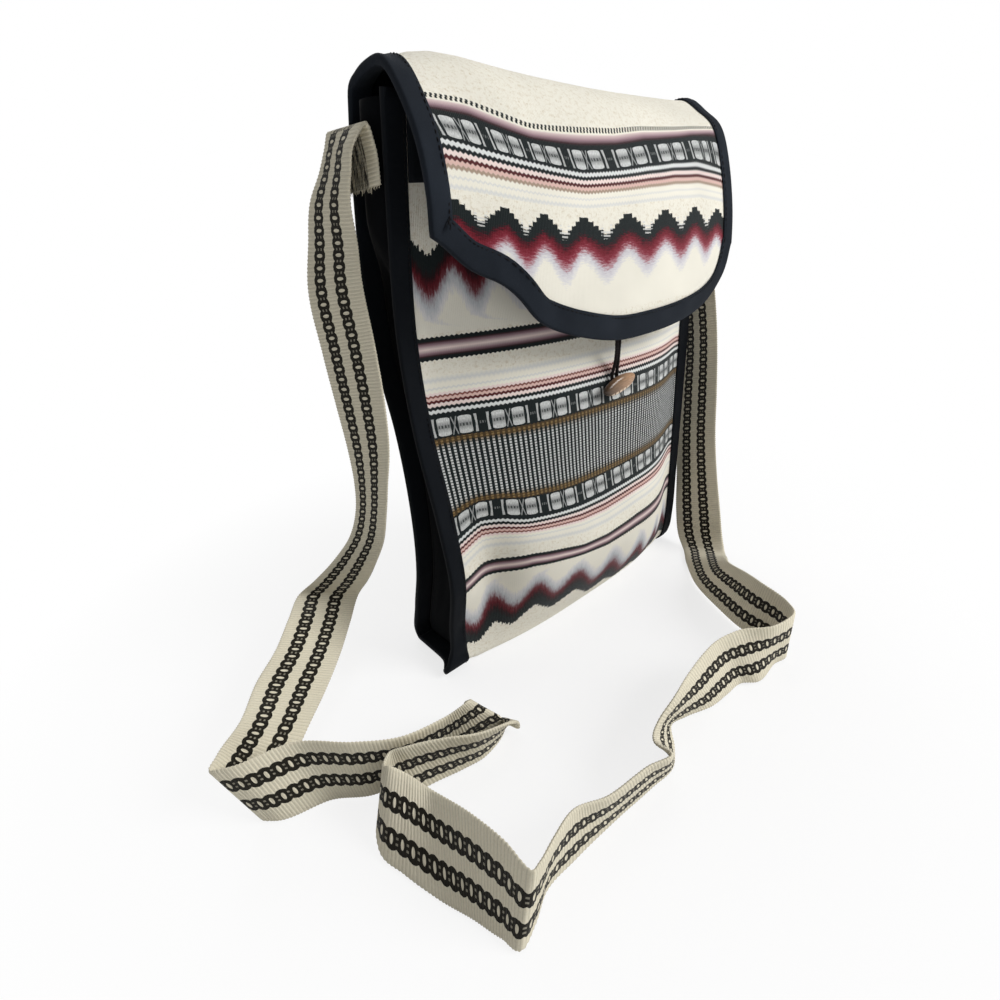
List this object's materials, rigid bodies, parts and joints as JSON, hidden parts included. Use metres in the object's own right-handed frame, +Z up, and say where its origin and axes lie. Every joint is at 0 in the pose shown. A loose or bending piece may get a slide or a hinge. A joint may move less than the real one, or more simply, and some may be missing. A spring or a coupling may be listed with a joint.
{
  "type": "crossbody bag",
  "caption": "Woven crossbody bag with a fold-over flap, loop and toggle button, black bound edges and a flat patterned webbing strap.",
  "frame": {"origin": "on the floor, under the middle of the bag's flat bottom", "axes": "+Z up, +X to the right of someone who looks at the flap, +Y towards the bag's back"},
  "size_m": [0.393, 0.2367, 0.3213],
  "materials": {
    "woven_cloth": "matte",
    "black_cotton": "matte",
    "black_tape": "matte",
    "strap_webbing": "matte",
    "button_wood": "satin",
    "loop_cord": "matte",
    "sewing_thread": "matte"
  },
  "bodies": {
    "root": {"body_cloth": "woven_cloth", "lining": "black_cotton", "left_gusset": "black_cotton", "right_gusset": "black_cotton", "edge_binding": "black_tape", "mouth_binding": "black_tape", "shoulder_strap": "strap_webbing", "toggle_button": "button_wood", "button_loop": "loop_cord", "button_thread": "sewing_thread"}
  },
  "joints": []
}
